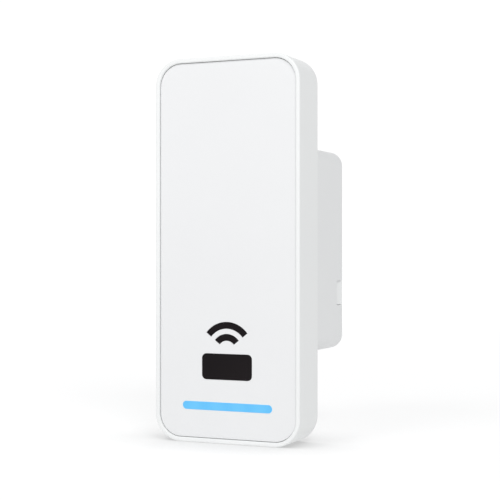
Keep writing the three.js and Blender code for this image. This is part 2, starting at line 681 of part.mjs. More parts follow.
// A stem with a collar that the rear plate keeps in. Its front end rests over the switch.
function pressedPiece({ stem, flange: collar }, front, frontRadius, tip) {
  return turned([
    [0, front], [frontRadius, front], [frontRadius, flangeFront], [collar, flangeFront], [collar, flangeBack],
    [stem, flangeBack], [stem, tip - slip], [stem - slip, tip], [0, tip],
  ]);
}
add("reset_button",
  pressedPiece(reset, resetSwitchBack + reset.travel + film, pressSwitch.nubRadius, plateBack + reset.proud),
  black, [resetX, 0, resetZ], resetPress);

const tamperNubBack = flangeFront - tamper.stub - tamper.travel - film;
const tamperSwitchBack = onBoard + tamperSwitch.depth;
add("tamper_switch", joined(
  plate(tamperSwitch.size, tamperSwitch.size, onBoard, tamperSwitchBack),
  rod(pressSwitch.nubRadius, onBoard, tamperNubBack),
), chipBlack, [tamperX, 0, hookMiddle]);

add("tamper_plunger",
  pressedPiece(tamper, flangeFront - tamper.stub, pressSwitch.nubRadius, slab.depth + tamper.proud),
  black, [tamperX, 0, hookMiddle], tamperPress);

// A helix along Y.
class Helix extends THREE.Curve {
  constructor(y0, y1) {
    super();
    this.y0 = y0;
    this.y1 = y1;
  }
  getPoint(t, target = new THREE.Vector3()) {
    const angle = 2 * Math.PI * spring.turns * t;
    const y = this.y0 + (this.y1 - this.y0) * t;
    return target.set(spring.radius * Math.cos(angle), y, spring.radius * Math.sin(angle));
  }
}

function springSolid() {
  const end = spring.wire + film;
  const section = new THREE.Shape().absarc(0, 0, spring.wire, 0, 2 * Math.PI);
  return new THREE.ExtrudeGeometry(section, {
    extrudePath: new Helix(tamperSwitchBack + end, flangeFront - end),
    steps: spring.stepsPerTurn * spring.turns,
    curveSegments: spring.halfSides,
  });
}
add("tamper_spring", springSolid(), steel, [tamperX, 0, hookMiddle]);

// ---------------------------------------------------------------- port cover over the cable compartment

const coverTop = bay.top - slip;
const coverInside = boxBack - cover.thickness;
const skirt = { width: inner.width - 2 * cover.skirtGap, height: bay.height - 2 * cover.skirtGap };
skirt.front = notchFront - slip - coverSeal.width - coverSeal.fromSkirtEnd; // the seal ends before the notch
skirt.radius = inner.radius - cover.skirtGap;

// The tab fills the finger notch. Its face ramps out from the notch's front until it is flush.
function coverTab(side) {
  const flush = boxWidth / 2 - film;
  const start = skirt.width / 2 - cover.skirt / 2;
  const half = notch.height / 2 - cover.tabGap;
  const front = notchFront + cover.tabGap;
  const points = [
    [start, front], [flush - cover.ramp, front], [flush, boxBack - cover.land],
    [flush, boxBack], [start, boxBack],
  ];
  return column(polygon(points.map(([x, y]) => [side * x, y])), notchMiddle - half, notchMiddle + half);
}

function coverSolid() {
  const back = boxBack + past;
  const underTop = solid(block(-slab.width, slab.width, 0, back, 0, coverTop));
  const lid = solid(sheet(innerShape(slip), coverInside, boxBack)).intersect(underTop);
  const skirtRing = ring(skirt.width, skirt.height, skirt.radius, cover.skirt, bay.middle);
  return cut(
    lid.add(joined(sheet(skirtRing, skirt.front, boxBack - cover.thickness / 2), coverTab(-1), coverTab(1))),
    rod(grommet.neck + film, coverInside - past, back, 0, bay.middle, facets.round),
    rod(grommet.flange + slip, boxBack - grommet.flangeDepth - film, back, 0, bay.middle, facets.round),
  );
}
add("port_cover", coverSolid(), white, [0, 0, 0], portCover);

const grow = cover.skirtGap - coverSeal.wallGap;
const bandRing = ring(
  skirt.width + 2 * grow, skirt.height + 2 * grow, skirt.radius + grow, grow - film, bay.middle);
const bandFront = skirt.front + coverSeal.fromSkirtEnd;
add("port_cover_seal", sheet(bandRing, bandFront, bandFront + coverSeal.width), rubber, [0, 0, 0], portCover);

// A collar on each face of the cover, and a neck through it. The cable squeezes into the bore.
function grommetSolid() {
  const { bore: hole, neck, flange: collar, flangeDepth, chamfer } = grommet;
  const [front, back] = [coverInside - film - flangeDepth, boxBack - film];
  return turned([
    [hole, front], [collar - chamfer, front], [collar, front + chamfer], [collar, coverInside - film],
    [neck, coverInside - film], [neck, boxBack - flangeDepth], [collar, boxBack - flangeDepth],
    [collar, back - chamfer], [collar - chamfer, back], [hole, back], [hole, front],
  ]);
}
add("cable_grommet", grommetSolid(), rubber, [0, 0, bay.middle], portCover);

export default reader;
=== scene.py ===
import math
import bmesh
import bpy
import numpy as np
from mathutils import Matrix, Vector


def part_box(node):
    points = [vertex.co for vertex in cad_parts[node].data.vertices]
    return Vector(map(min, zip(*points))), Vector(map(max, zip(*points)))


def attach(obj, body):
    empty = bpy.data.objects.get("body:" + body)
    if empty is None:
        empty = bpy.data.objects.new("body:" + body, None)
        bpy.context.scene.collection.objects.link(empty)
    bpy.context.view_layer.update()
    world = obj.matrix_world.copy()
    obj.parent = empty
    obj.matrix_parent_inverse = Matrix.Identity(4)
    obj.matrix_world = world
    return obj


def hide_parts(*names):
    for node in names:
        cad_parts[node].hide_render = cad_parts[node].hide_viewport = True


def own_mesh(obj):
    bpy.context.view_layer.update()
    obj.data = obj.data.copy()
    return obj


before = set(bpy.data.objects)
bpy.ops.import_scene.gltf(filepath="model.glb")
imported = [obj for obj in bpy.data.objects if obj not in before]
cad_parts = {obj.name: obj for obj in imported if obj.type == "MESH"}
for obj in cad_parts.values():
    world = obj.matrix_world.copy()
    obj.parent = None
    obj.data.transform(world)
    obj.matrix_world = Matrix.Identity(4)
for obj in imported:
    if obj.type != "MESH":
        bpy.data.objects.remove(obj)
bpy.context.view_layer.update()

# ------------------------------------------------------------ camera
# A long lens that stands level with the middle of the reader, ahead of it and to its right, so that the
# face, the right side wall and the side of the rear box all show.
MM = 0.001
slab_low, slab_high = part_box("front_housing")
face_depth = slab_low.y  # depths are counted from the front of the rim, as the maker draws them

camera_data = bpy.data.cameras.new("camera")
camera_data.sensor_width = 36.0
camera_data.lens = 92.0
camera_data.clip_start = 0.02
camera_data.clip_end = 20.0
camera = bpy.data.objects.new("camera", camera_data)
camera.location = (0.1838, face_depth - 0.3935, (slab_low.z + slab_high.z) / 2)
camera.rotation_euler = (math.radians(90.0), 0.0, math.radians(23.95))
bpy.context.scene.collection.objects.link(camera)
bpy.context.scene.camera = camera

# ------------------------------------------------------------ studio
# A white table under a white sky. A broad lamp ahead and to the left lights the face, one to the right lights
# the side wall less, and two weak ones lift the top and the back. The table mirrors the reader's foot. It
# glows to look pure white: more when seen directly than as a light, and brighter away from the reader. Where
# the reader stands on it, a painted contact shadow darkens its glow as the camera sees it.


def add_node(tree, kind, sockets=None, **settings):
    """Adds a shader node. A socket value that is another node's output is linked, any other value is set."""
    made = tree.nodes.new("ShaderNode" + kind)
    for key, value in settings.items():
        setattr(made, key, value)
    for key, value in (sockets or {}).items():
        if isinstance(value, bpy.types.NodeSocket):
            tree.links.new(value, made.inputs[key])
        else:
            made.inputs[key].default_value = value
    return made


def new_finish(name):
    """An empty material with its output node and its node tree."""
    material = bpy.data.materials.new(name)
    material.use_nodes = True
    material.node_tree.nodes.clear()
    return material, material.node_tree, material.node_tree.nodes.new("ShaderNodeOutputMaterial")


table_finish, tree, output = new_finish("white_table")
coords = add_node(tree, "TexCoord").outputs["Object"]
cloudy = add_node(tree, "TexNoise", {"Vector": coords, "Scale": 3.0, "Detail": 3.0})
sheet_tone = add_node(tree, "ValToRGB", {"Fac": cloudy.outputs["Fac"]})
sheet_tone.color_ramp.elements[0].color = (0.90, 0.90, 0.90, 1)
sheet_tone.color_ramp.elements[1].color = (0.93, 0.93, 0.93, 1)
matt = add_node(tree, "BsdfDiffuse", {"Color": sheet_tone.outputs["Color"]})
polish = add_node(tree, "BsdfGlossy", {"Roughness": 0.05})
away = add_node(tree, "VectorMath", {0: coords}, operation="LENGTH").outputs["Value"]
lift = add_node(tree, "MapRange", {
    "Value": away, "From Min": 0.12, "From Max": 1.2, "To Min": 1.26, "To Max": 1.58})
# Painted contact shadow: ambient occlusion darkens the table's glow, as the camera sees it, near the reader.
open_sky = add_node(tree, "AmbientOcclusion", {"Distance": 0.03}, samples=16).outputs["AO"]
contact = add_node(tree, "MapRange", {"Value": open_sky, "From Min": 0.25, "From Max": 1.02, "To Min": 0.44})
seen_directly = add_node(tree, "LightPath").outputs["Is Camera Ray"]
share = add_node(tree, "Mix", {0: seen_directly, 2: 0.80, 3: contact.outputs[0]}, data_type="FLOAT")
shaded = add_node(tree, "Math", {0: lift.outputs[0], 1: share.outputs[0]}, operation="MULTIPLY")
glow = add_node(tree, "Emission", {"Color": (1, 1, 1, 1), "Strength": shaded.outputs[0]})
surface = add_node(tree, "MixShader", {"Fac": 0.10, 1: matt.outputs[0], 2: polish.outputs[0]})
table_shader = add_node(tree, "MixShader", {"Fac": 0.5, 1: surface.outputs[0], 2: glow.outputs[0]})
tree.links.new(table_shader.outputs[0], output.inputs["Surface"])
table_half = 6.0
table_mesh = bpy.data.meshes.new("table")
table_mesh.from_pydata(
    [(-table_half, -table_half, 0), (table_half, -table_half, 0),
     (table_half, table_half, 0), (-table_half, table_half, 0)], [], [(0, 1, 2, 3)])
table_mesh.materials.append(table_finish)
table = bpy.data.objects.new("table", table_mesh)
table_gap = 0.05 * MM
table.location.z = slab_low.z - table_gap
bpy.context.scene.collection.objects.link(table)

sky = bpy.data.worlds.new("white_sky")
sky.use_nodes = True
sky.node_tree.nodes.clear()
seen = add_node(sky.node_tree, "Background", {"Color": (1, 1, 1, 1), "Strength": 1.05})
lighting = add_node(sky.node_tree, "Background", {"Color": (0.985, 0.992, 1, 1), "Strength": 0.575})
path = add_node(sky.node_tree, "LightPath")
either = add_node(sky.node_tree, "MixShader", {
    "Fac": path.outputs["Is Camera Ray"], 1: lighting.outputs[0], 2: seen.outputs[0]})
sky_output = sky.node_tree.nodes.new("ShaderNodeOutputWorld")
sky.node_tree.links.new(either.outputs[0], sky_output.inputs["Surface"])
bpy.context.scene.world = sky


def softbox(name, place, size, watts):
    """A square area lamp at a place, turned to face the middle of the slab."""
    lamp = bpy.data.lights.new(name, "AREA")
    lamp.size = size
    lamp.energy = watts
    holder = bpy.data.objects.new(name, lamp)
    holder.location = place
    aim = Vector((0.0, 0.0, (slab_low.z + slab_high.z) / 2)) - holder.location
    holder.rotation_euler = aim.to_track_quat("-Z", "Y").to_euler()
    bpy.context.scene.collection.objects.link(holder)


softbox("face_lamp", (-0.30, -0.80, 0.85), 0.45, 2.85)
softbox("side_lamp", (0.55, -0.75, 0.78), 0.35, 3.95)
softbox("top_lamp", (0.10, 0.05, 1.1), 0.5, 0.2)
softbox("back_lamp", (-0.30, 1.20, 0.60), 0.7, 1.2)
bpy.context.scene.view_settings.view_transform = "Standard"

# ------------------------------------------------------------ front housing
# One white moulding: the rim that stands proud of the face, the side walls, the web behind the panel, the
# bosses for every screw, the slot for the light, and the holes in the bottom edge. Satin spark texture.
PAST = 3.0  # how far a cutting solid reaches past what it cuts, in millimetres
FACE = face_depth / MM  # where the front of the rim lies along Y, in millimetres


def skin(rings, looped=False):
    """Joins each ring of points to the next with four-cornered faces. The last ring joins the first in a
    loop, or else a flat face closes each end. The rings are an array of rings, points and coordinates, and
    the faces are turned to point outwards."""
    rows, across = rings.shape[:2]
    grid = np.arange(rows * across).reshape(rows, across)
    ends = [] if looped else [grid[0][::-1].tolist(), grid[-1].tolist()]
    if looped:
        grid = np.concatenate([grid, grid[:1]])
    beside = np.roll(grid, -1, axis=1)
    walls = np.stack([grid[:-1], beside[:-1], beside[1:], grid[1:]], axis=-1).reshape(-1, 4)
    mesh = bpy.data.meshes.new("skin")
    mesh.from_pydata(rings.reshape(-1, 3).tolist(), [], walls.tolist() + ends)
    work = bmesh.new()
    work.from_mesh(mesh)
    bmesh.ops.remove_doubles(work, verts=work.verts, dist=2e-7)
    if work.calc_volume(signed=True) < 0:
        bmesh.ops.reverse_faces(work, faces=work.faces)
    work.to_mesh(mesh)
    work.free()
    return mesh


def sides(front, back, front_round=0.0, back_round=0.0, steps=6):
    """The side of a sheet as pairs of inset and depth, in millimetres: straight, with a quarter circle at
    each end that is rounded."""
    turn = np.linspace(0, math.pi / 2, steps + 1)
    start, stop = np.array([[0.0, front]]), np.array([[0.0, back]])
    if front_round:
        start = np.stack([
            front_round * (1 - np.sin(turn)), front + front_round * (1 - np.cos(turn))], axis=-1)
    if back_round:
        stop = np.stack([
            back_round * (1 - np.cos(turn)), back - back_round * (1 - np.sin(turn))], axis=-1)
    return np.concatenate([start, stop])


def sheet(low, high, radius, profile, arc=14, looped=False):
    """A profile carried round a rectangle with round corners in X and Z, all in millimetres. Each corner is a
    quarter circle about its own middle, and a point of the profile lies radius minus inset from that middle.
    A looped profile makes a ring, any other makes a solid sheet."""
    profile = np.asarray(profile, float)
    radii = np.repeat(np.broadcast_to(np.asarray(radius, float), 4), arc + 1)
    turn = (np.arange(4)[:, None] * math.pi / 2 + np.linspace(0, math.pi / 2, arc + 1)).ravel()
    right = np.repeat([True, False, False, True], arc + 1)
    upper = np.repeat([True, True, False, False], arc + 1)
    middle_x = np.where(right, high[0] - radii, low[0] + radii)
    middle_z = np.where(upper, high[1] - radii, low[1] + radii)
    reach = radii - profile[:, :1]
    x = middle_x + reach * np.cos(turn)
    z = middle_z + reach * np.sin(turn)
    y = np.broadcast_to(FACE + profile[:, 1:], x.shape)
    return skin(np.stack([x, y, z], axis=-1) * MM, looped)


def turned(points, middle, axis="Y", count=48):
    """A solid of revolution from pairs of radius and place along its axis: each pair is a circle about the
    middle. The middle is in millimetres in the other two directions."""
    points = np.asarray(points, float)
    turn = np.arange(count) * 2 * math.pi / count
    across = middle[0] + points[:, :1] * np.cos(turn)
    other = middle[1] + points[:, :1] * np.sin(turn)
    along = np.broadcast_to(points[:, 1:], across.shape)
    if axis == "Y":
        return skin(np.stack([across, along + FACE, other], axis=-1) * MM)
    return skin(np.stack([across, other, along], axis=-1) * MM)


def brick(x, y, z):
    """A block between two places in each direction, in millimetres; Y is a depth behind the rim."""
    return sheet((x[0], z[0]), (x[1], z[1]), 0.02, [(0, y[0]), (0, y[1])], arc=1)


def shaped(base, joins=(), cuts=()):
    """Joins solids to a base and then cuts solids out of it, one after another."""
    work = bpy.data.objects.new("work", base)
    bpy.context.scene.collection.objects.link(work)
    tools = []
    for operation, solids in (("UNION", joins), ("DIFFERENCE", cuts)):
        for tool_mesh in solids:
            tool = bpy.data.objects.new("tool", tool_mesh)
            bpy.context.scene.collection.objects.link(tool)
            step = work.modifiers.new("step", "BOOLEAN")
            step.operation = operation
            step.solver = "MANIFOLD"
            step.object = tool
            tools.append(tool)
    mesh = bpy.data.meshes.new_from_object(work.evaluated_get(bpy.context.evaluated_depsgraph_get()))
    for spare in [work, *tools]:
        bpy.data.objects.remove(spare)
    return mesh


def place(name, mesh, material, slot, node, body="reader"):
    """Puts a finished mesh in the scene: smooth except at creases, on its body, and in place of its node."""
    piece = bpy.data.objects.new(name, mesh)
    bpy.context.scene.collection.objects.link(piece)
    mesh.materials.clear()
    mesh.materials.append(material)
    mesh.polygons.foreach_set("material_index", np.zeros(len(mesh.polygons), np.int32))
    mesh.shade_smooth()
    mesh.set_sharp_from_angle(angle=math.radians(32.0))
    even = piece.modifiers.new("even_shading", "WEIGHTED_NORMAL")
    even.keep_sharp = True
    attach(piece, body)
    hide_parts(node)
    return piece


def node_group(name, inputs, outputs):
    """A shader group with named inputs (name, kind, value) and outputs (name, kind)."""
    group = bpy.data.node_groups.new(name, "ShaderNodeTree")
    for label, kind, value in inputs:
        socket = group.interface.new_socket(label, in_out="INPUT", socket_type="NodeSocket" + kind)
        if value is not None:
            socket.default_value = value
    for label, kind in outputs:
        group.interface.new_socket(label, in_out="OUTPUT", socket_type="NodeSocket" + kind)
    return group, group.nodes.new("NodeGroupInput").outputs, group.nodes.new("NodeGroupOutput").inputs


# The texture that spark erosion leaves in a mould: small pits of mixed size, over slow drifts in the tone.
spark_texture, into, out = node_group(
    "spark_texture",
    [("Vector", "Vector", None), ("Pits", "Float", 3000.0), ("Drift", "Float", 22.0)],
    [("Tone", "Float"), ("Height", "Float")])
pits = add_node(spark_texture, "TexNoise", {
    "Vector": into["Vector"], "Scale": into["Pits"], "Detail": 2.0, "Roughness": 0.6})
craters = add_node(spark_texture, "TexVoronoi", {"Vector": into["Vector"], "Scale": into["Pits"]})
height = add_node(spark_texture, "Math", {0: pits.outputs["Fac"], 1: craters.outputs["Distance"]},
                  operation="MULTIPLY")
drift = add_node(spark_texture, "TexNoise", {
    "Vector": into["Vector"], "Scale": into["Drift"], "Detail": 3.0, "Roughness": 0.55})
spread = add_node(spark_texture, "MapRange", {
    "Value": drift.outputs["Fac"], "From Min": 0.3, "From Max": 0.7, "To Min": 0.0, "To Max": 1.0})
spark_texture.links.new(height.outputs[0], out["Height"])
spark_texture.links.new(spread.outputs[0], out["Tone"])

# Dust that settles where a surface looks up, in specks and a thin film.
settled_dust, into, out = node_group(
    "settled_dust",
    [("Vector", "Vector", None), ("Specks", "Float", 900.0), ("Amount", "Float", 0.25)],
    [("Mask", "Float")])
true_surface = add_node(settled_dust, "NewGeometry")
facing = add_node(settled_dust, "SeparateXYZ", {"Vector": true_surface.outputs["Normal"]})
looking_up = add_node(settled_dust, "MapRange", {
    "Value": facing.outputs["Z"], "From Min": 0.35, "From Max": 0.95, "To Min": 0.0, "To Max": 1.0})
specks = add_node(settled_dust, "TexNoise", {
    "Vector": into["Vector"], "Scale": into["Specks"], "Detail": 4.0})
film = add_node(settled_dust, "MapRange", {
    "Value": specks.outputs["Fac"], "From Min": 0.45, "From Max": 0.75, "To Min": 0.15, "To Max": 1.0})
lying = add_node(settled_dust, "Math", {0: looking_up.outputs[0], 1: film.outputs[0]}, operation="MULTIPLY")
weighed = add_node(settled_dust, "Math", {0: lying.outputs[0], 1: into["Amount"]}, operation="MULTIPLY")
settled_dust.links.new(weighed.outputs[0], out["Mask"])

# Wear and polish where an edge is rubbed: strong where the true surface turns away from a rounded one.
edge_wear, into, out = node_group(
    "edge_wear", [("Vector", "Vector", None), ("Patches", "Float", 250.0)], [("Mask", "Float")])
rounded = add_node(edge_wear, "Bevel", {"Radius": 0.0006}, samples=4)
agreement = add_node(edge_wear, "VectorMath", {
    0: rounded.outputs[0], 1: add_node(edge_wear, "NewGeometry").outputs["Normal"]}, operation="DOT_PRODUCT")
turning = add_node(edge_wear, "MapRange", {
    "Value": agreement.outputs["Value"], "From Min": 0.99, "From Max": 0.80, "To Min": 0.0, "To Max": 1.0})
patchy = add_node(edge_wear, "TexNoise", {"Vector": into["Vector"], "Scale": into["Patches"], "Detail": 3.0})
worn = add_node(edge_wear, "Math", {0: turning.outputs[0], 1: patchy.outputs["Fac"]}, operation="MULTIPLY")
edge_wear.links.new(worn.outputs[0], out["Mask"])


def mixed(tree, amount, first, second):
    """The colour between two colours at a varying amount."""
    return add_node(tree, "Mix", {0: amount, 6: first, 7: second}, data_type="RGBA").outputs[2]


def moulded(name, light, dark, rough, pits=3000.0, relief=0.00002, dust=0.12, specular=0.5):
    """Moulded plastic: tone drifts between two colours, spark texture in the relief, dust on top, and edges
    that handling has polished a little smoother."""
    material, tree, output = new_finish(name)
    coords = add_node(tree, "TexCoord").outputs["Object"]
    texture = add_node(tree, "Group", {}, node_tree=spark_texture)
    tree.links.new(coords, texture.inputs["Vector"])
    texture.inputs["Pits"].default_value = pits
    dusty = add_node(tree, "Group", {}, node_tree=settled_dust)
    tree.links.new(coords, dusty.inputs["Vector"])
    dusty.inputs["Amount"].default_value = dust
    rubbed = add_node(tree, "Group", {}, node_tree=edge_wear)
    tree.links.new(coords, rubbed.inputs["Vector"])
    plain = mixed(tree, texture.outputs["Tone"], (*dark, 1), (*light, 1))
    base = mixed(tree, dusty.outputs["Mask"], plain, (0.55, 0.54, 0.52, 1))
    smoother = add_node(tree, "MapRange", {
        "Value": rubbed.outputs["Mask"], "From Max": 0.6, "To Min": rough, "To Max": rough - 0.12})
    bump = add_node(tree, "Bump", {
        "Height": texture.outputs["Height"], "Strength": 0.6, "Distance": relief})
    shell = add_node(tree, "BsdfPrincipled", {
        "Base Color": base, "Roughness": smoother.outputs[0], "Normal": bump.outputs[0],
        "Specular IOR Level": specular})
    tree.links.new(shell.outputs[0], output.inputs["Surface"])
    return material


white_plastic = moulded("white_plastic", (0.855, 0.865, 0.862), (0.840, 0.850, 0.850), 0.52)

slab_low_mm = (slab_low.x / MM, slab_low.z / MM)
slab_high_mm = (slab_high.x / MM, slab_high.z / MM)
slab_middle = (slab_low_mm[1] + slab_high_mm[1]) / 2
SLAB_DEPTH = (slab_high.y - slab_low.y) / MM
SLAB_RADIUS = 9.4
RIM_WIDTH = 1.5
WALL = 2.8
WEB_FRONT, WEB_BACK = 2.6, 4.6
LIP = 1.2  # the thin wall beside the rear plate
LEDGE = 14.3  # where the rear plate seats


def middle_of(node):
    """The middle of a CAD node in X and Z, in millimetres."""
    low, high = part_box(node)
    return (low.x + high.x) / 2 / MM, (low.z + high.z) / 2 / MM


quarter = np.linspace(0, math.pi / 2, 9)
RIM_EDGE, RIM_INNER_EDGE = 0.5, 0.45
BACK_BREAK = 0.15
outer_edge = RIM_EDGE * (1 - np.stack([np.cos(quarter), np.sin(quarter)], axis=-1))
inner_edge = RIM_INNER_EDGE * (1 - np.stack([np.sin(quarter), np.cos(quarter)], axis=-1))
inner_edge[:, 0] = RIM_WIDTH - inner_edge[:, 0]
shell_profile = np.concatenate([
    [(WALL, WEB_BACK), (WALL, LEDGE), (LIP, LEDGE), (LIP, SLAB_DEPTH)],
    [(BACK_BREAK, SLAB_DEPTH), (0.0, SLAB_DEPTH - BACK_BREAK)],
    outer_edge, inner_edge, [(RIM_WIDTH, WEB_FRONT)]])
housing_screws = [middle_of(f"housing_screw_{i}") for i in (1, 2, 3, 4)]
board_screws = [middle_of(f"board_screw_{i}") for i in (1, 2, 3, 4)]
bar_low, bar_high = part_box("light_bar_lens")
bar_low_mm, bar_high_mm = (bar_low.x / MM, bar_low.z / MM), (bar_high.x / MM, bar_high.z / MM)
BAR_RADIUS = (bar_high_mm[1] - bar_low_mm[1]) / 2
lock_low, lock_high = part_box("security_screw")
lock_middle = ((lock_low.x + lock_high.x) / 2 / MM, (lock_low.y + lock_high.y) / 2 / MM)
lock_depth = lock_middle[1] - FACE
SOUND_X, SOUND_DEPTH, SOUND_TOP = -12.0, 8.0, 6.0
SOUND_REACH, SOUND_HALF = 1.9, 0.6


def bar(margin, front, back, edge=0.0):
    """The light bar's outline, grown by a margin, as a sheet."""
    low = (bar_low_mm[0] - margin, bar_low_mm[1] - margin)
    high = (bar_high_mm[0] + margin, bar_high_mm[1] + margin)
    return sheet(low, high, BAR_RADIUS + margin, sides(front, back, front_round=edge), arc=10)


def rod(radius, front, back, middle, count=32):
    """A plain rod along Y between two depths."""
    return turned([(radius, front), (radius, back)], middle, count=count)


sound_slot = [  # a block between two rods makes one slot with round ends
    turned([(SOUND_HALF, -PAST), (SOUND_HALF, SOUND_TOP)], (x, SOUND_DEPTH + FACE), axis="Z", count=20)
    for x in (SOUND_X - SOUND_REACH, SOUND_X + SOUND_REACH)]
sound_slot.append(brick(
    (SOUND_X - SOUND_REACH, SOUND_X + SOUND_REACH), (SOUND_DEPTH - SOUND_HALF, SOUND_DEPTH + SOUND_HALF),
    (-PAST, SOUND_TOP)))
HOUSING_BOSS, BOARD_BOSS = 3.0, 2.4
BOARD_SEAT = 6.55
HOUSING_HOLE, BOARD_HOLE, LOCK_HOLE = 1.35, 0.95, 1.7
LOCK_HEAD_ROOM, LOCK_HEAD_DEPTH = 2.55, 2.15
housing_mesh = shaped(
    sheet(slab_low_mm, slab_high_mm, SLAB_RADIUS, shell_profile, arc=24),
    [*(rod(HOUSING_BOSS, WEB_BACK - 1, LEDGE, at) for at in housing_screws),
     *(rod(BOARD_BOSS, WEB_BACK - 1, BOARD_SEAT, at) for at in board_screws),
     brick((-4, 4), (lock_depth - 3.6, LEDGE), (1.4, 5.0))],
    [bar(0.3, WEB_FRONT - PAST, WEB_BACK + PAST),
     *(rod(HOUSING_HOLE, LEDGE - 7.3, SLAB_DEPTH, at) for at in housing_screws),
     *(rod(BOARD_HOLE, 4.15, 8.2, at) for at in board_screws),
     turned([(LOCK_HEAD_ROOM, -PAST), (LOCK_HEAD_ROOM, LOCK_HEAD_DEPTH)], lock_middle, axis="Z"),
     turned([(LOCK_HOLE, 0), (LOCK_HOLE, 6.2)], lock_middle, axis="Z"),
     *sound_slot])
place("front_shell", housing_mesh, white_plastic, "white_plastic", "front_housing")

# ------------------------------------------------------------ face panel
# A flat plate of pale grey-white plastic, held by a ring of tape just below the rim, with a hair-fine gap
# round it. It has a slot for the light bar and three shallow pockets for the sign.
panel_plastic = moulded("panel_plastic", (0.815, 0.819, 0.826), (0.803, 0.807, 0.814), 0.46,
                        pits=4200.0, relief=0.000012, dust=0.05)
panel_low, panel_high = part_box("face_panel")
PANEL_FRONT, PANEL_BACK = panel_low.y / MM - FACE, panel_high.y / MM - FACE
PANEL_RADIUS = SLAB_RADIUS - (panel_low.x - slab_low.x) / MM
STROKE = 2.2
SIGN_DEPTH = 0.4
card_low, card_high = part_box("sign_card")
wave_middle = card_high.z / MM + 1.2
WAVE_REACH = 0.9


def card(margin, front, back, edge=0.0):
    """The sign's card, grown by a margin, as a sheet."""
    low = (card_low.x / MM - margin, card_low.z / MM - margin)
    high = (card_high.x / MM + margin, card_high.z / MM + margin)
    return sheet(low, high, 1.6 + margin, sides(front, back, front_round=edge), arc=12)


def wave(radius, margin, front, back, edge=0.04, steps=56):
    """A band of a ring over the card: a rectangle in radius and depth, its front corners rounded, carried
    along an arc. Its angle runs evenly to both sides of straight up."""
    outer, inner = radius + margin, radius - STROKE - margin
    reach = WAVE_REACH + margin / radius
    turn = np.linspace(math.pi / 2 - reach, math.pi / 2 + reach, steps + 1)[:, None]
    section = np.array([
        (inner, back), (inner, front + edge), (inner + edge, front), (outer - edge, front),
        (outer, front + edge), (outer, back)])
    x = section[:, 0] * np.cos(turn)
    z = wave_middle + section[:, 0] * np.sin(turn)
    y = np.broadcast_to(section[:, 1] + FACE, x.shape)
    return skin(np.stack([x, y, z], axis=-1) * MM)


INLAY_GAP = 0.08
waves = {"sign_wave_inner": 5.6, "sign_wave_outer": 9.7}
pocket_floor = PANEL_FRONT + SIGN_DEPTH
panel_mesh = shaped(
    sheet((panel_low.x / MM, panel_low.z / MM), (panel_high.x / MM, panel_high.z / MM), PANEL_RADIUS,
          sides(PANEL_FRONT, PANEL_BACK, front_round=0.12), arc=24),
    [],
    [bar(INLAY_GAP, PANEL_FRONT - 1, PANEL_BACK + 1), card(INLAY_GAP, PANEL_FRONT - 1, pocket_floor),
     *(wave(radius, INLAY_GAP, PANEL_FRONT - 1, pocket_floor) for radius in waves.values())])
place("face_plate", panel_mesh, panel_plastic, "panel_plastic", "face_panel")

# ------------------------------------------------------------ sign
# A card under two radio waves, moulded in black and pressed into the panel's pockets, flush with its face.
black_inlay = moulded("black_inlay", (0.011, 0.008, 0.009), (0.006, 0.004, 0.005), 0.48,
                      pits=3600.0, dust=0.02, specular=0.12)
sign_back = pocket_floor - 0.05
place("card_inlay", card(0, PANEL_FRONT, sign_back, edge=0.04), black_inlay, "black_inlay", "sign_card")
for node, radius in waves.items():
    place(node.replace("sign_", "") + "_inlay", wave(radius, 0, PANEL_FRONT, sign_back),
          black_inlay, "black_inlay", node)

# ------------------------------------------------------------ light bar
# A milky blue strip with round ends, flush with the panel. Four lamps behind it light it almost evenly: it
# is a little brighter over each lamp.
blue_lens, tree, output = new_finish("blue_lens")
coords = add_node(tree, "TexCoord").outputs["Object"]
along = add_node(tree, "SeparateXYZ", {"Vector": coords})
lamp_low, lamp_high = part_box("status_led_1")[0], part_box("status_led_4")[1]
LAMP_WIDTH = 1.6 * MM
lamp_pitch = (lamp_high.x - lamp_low.x - LAMP_WIDTH) / 3
first_lamp = lamp_low.x + LAMP_WIDTH / 2
phase = add_node(tree, "MapRange", {
    "Value": along.outputs["X"], "From Min": first_lamp, "From Max": first_lamp + lamp_pitch,
    "To Min": 0.0, "To Max": 2 * math.pi}, clamp=False)
hump = add_node(tree, "Math", {0: phase.outputs[0]}, operation="COSINE")
milk = add_node(tree, "TexNoise", {"Vector": coords, "Scale": 900.0, "Detail": 3.0})
uneven = add_node(tree, "Math", {0: hump.outputs[0], 1: milk.outputs["Fac"]}, operation="ADD")
level = add_node(tree, "MapRange", {
    "Value": uneven.outputs[0], "From Min": -1.0, "From Max": 2.0, "To Min": 0.0, "To Max": 1.0})
lit = mixed(tree, level.outputs[0], (0.124, 0.545, 0.940, 1), (0.155, 0.590, 0.965, 1))
body_blue = mixed(tree, milk.outputs["Fac"], (0.015, 0.045, 0.10, 1), (0.020, 0.060, 0.13, 1))
lens_bump = add_node(tree, "Bump", {"Height": milk.outputs["Fac"], "Strength": 0.3, "Distance": 0.00001})
lens = add_node(tree, "BsdfPrincipled", {
    "Base Color": body_blue, "Roughness": 0.32, "Emission Color": lit, "Emission Strength": 0.90,
    "Normal": lens_bump.outputs[0], "Specular IOR Level": 0.3})
tree.links.new(lens.outputs[0], output.inputs["Surface"])
lens_mesh = bar(0, PANEL_FRONT, bar_high.y / MM - FACE, edge=0.12)
place("light_bar", lens_mesh, blue_lens, "blue_lens", "light_bar_lens")

# ------------------------------------------------------------ panel tape, light guide and lamps
# A ring of dark foam tape holds the panel. Behind the light bar lie a clear guide and four pale lamps, and a
# patch of foam covers the sound slot from inside. All but the tape keep their own solid shapes.
GLOSS_SWING = 0.06  # how far roughness strays to either side of its middle


